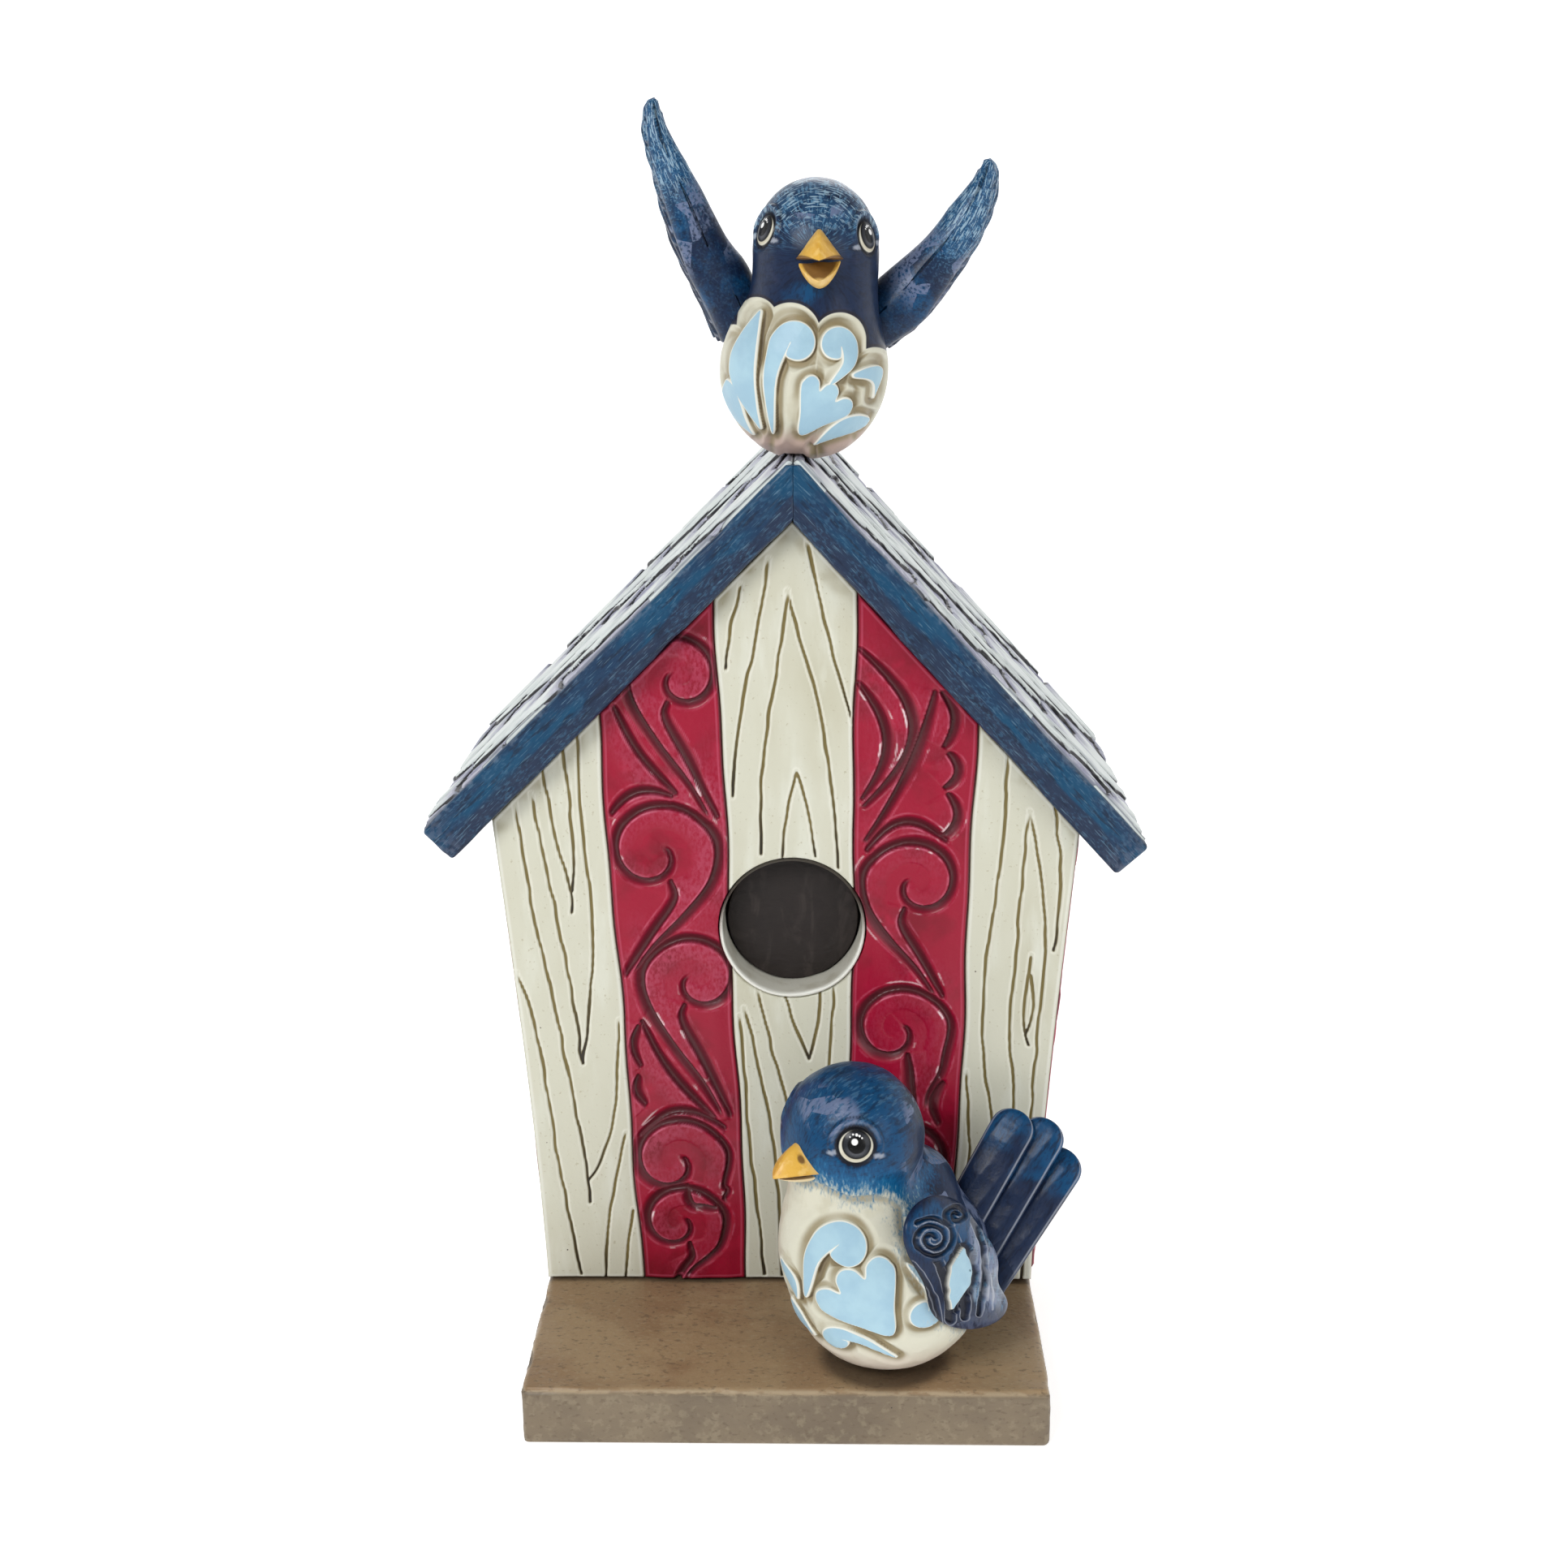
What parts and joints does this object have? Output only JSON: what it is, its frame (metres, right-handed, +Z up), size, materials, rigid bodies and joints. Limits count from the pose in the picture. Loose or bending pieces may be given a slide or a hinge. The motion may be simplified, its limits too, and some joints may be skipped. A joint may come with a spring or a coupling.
{
  "type": "decorative birdhouse figurine",
  "caption": "Painted cast-resin birdhouse figurine: flared striped walls, gabled roof with carved top, a blind round entrance and two small birds, on a slab plinth.",
  "frame": {"origin": "centre of the plinth's underside", "axes": "+X to the right of the front, +Y to the back, +Z up"},
  "size_m": [0.1396, 0.1232, 0.2451],
  "materials": {
    "plinth_taupe": "satin",
    "bare_casting": "matte",
    "board_cream": "satin",
    "board_crimson": "satin",
    "entrance_dark": "matte",
    "roof_navy": "satin",
    "roof_white": "satin",
    "bird_navy": "satin",
    "beak_yellow": "satin",
    "pin_steel": "satin"
  },
  "bodies": {
    "root": {"base_plinth": "plinth_taupe", "house_shell": "bare_casting", "front_board_cream_left": "board_cream", "front_board_crimson_left": "board_crimson", "front_board_cream_upper": "board_cream", "front_board_cream_lower": "board_cream", "front_board_crimson_right": "board_crimson", "front_board_cream_right": "board_cream", "back_board_1": "board_cream", "back_board_2": "board_crimson", "back_board_3": "board_cream", "back_board_4": "board_crimson", "back_board_5": "board_cream", "left_board_1": "board_crimson", "left_board_2": "board_cream", "left_board_3": "board_crimson", "right_board_1": "board_crimson", "right_board_2": "board_cream", "right_board_3": "board_crimson", "entrance_sleeve": "board_cream", "entrance_backing": "entrance_dark", "roof_slab_left": "roof_navy", "roof_carving_left": "roof_white", "roof_slab_right": "roof_navy", "roof_carving_right": "roof_white", "roof_bird_body": "bird_navy", "roof_bird_wing_left": "bird_navy", "roof_bird_wing_right": "bird_navy", "roof_bird_tail": "bird_navy", "roof_bird_beak_upper": "beak_yellow", "roof_bird_beak_lower": "beak_yellow", "base_bird_body": "bird_navy", "base_bird_wing_near": "bird_navy", "base_bird_wing_far": "bird_navy", "base_bird_tail": "bird_navy", "base_bird_beak_upper": "beak_yellow", "base_bird_beak_lower": "beak_yellow", "base_bird_pin": "pin_steel", "roof_bird_pin": "pin_steel", "roof_bird_wing_pin_left": "pin_steel", "roof_bird_wing_pin_right": "pin_steel", "roof_bird_tail_pin": "pin_steel", "base_bird_tail_pin": "pin_steel"}
  },
  "joints": []
}
